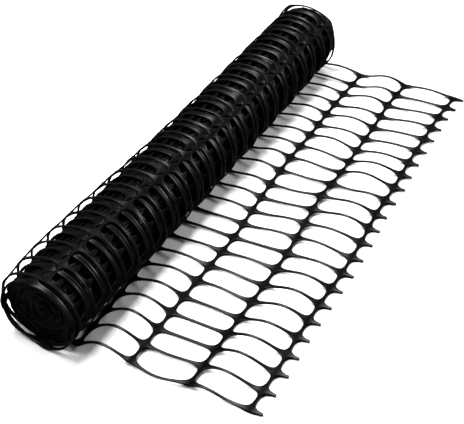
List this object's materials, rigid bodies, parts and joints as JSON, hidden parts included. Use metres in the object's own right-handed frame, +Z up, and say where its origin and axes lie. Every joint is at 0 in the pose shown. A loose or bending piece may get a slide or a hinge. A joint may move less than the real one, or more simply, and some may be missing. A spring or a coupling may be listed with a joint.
{
  "type": "roll of barrier mesh",
  "caption": "Roll of black plastic barrier mesh fencing lying on its side on the floor, with a length of the net pulled out flat in front of it",
  "frame": {"origin": "on the floor under the middle strand, on the line where the net leaves the roll", "axes": "+X along the roll to its tight end, +Y from the loose end towards the roll's back, +Z up from the floor"},
  "size_m": [1.0473, 0.4903, 0.1471],
  "materials": {
    "net": "satin black polyethylene, drawn along the strands"
  },
  "bodies": {
    "root": {"roll": "net", "loose_end": "net"}
  },
  "joints": []
}
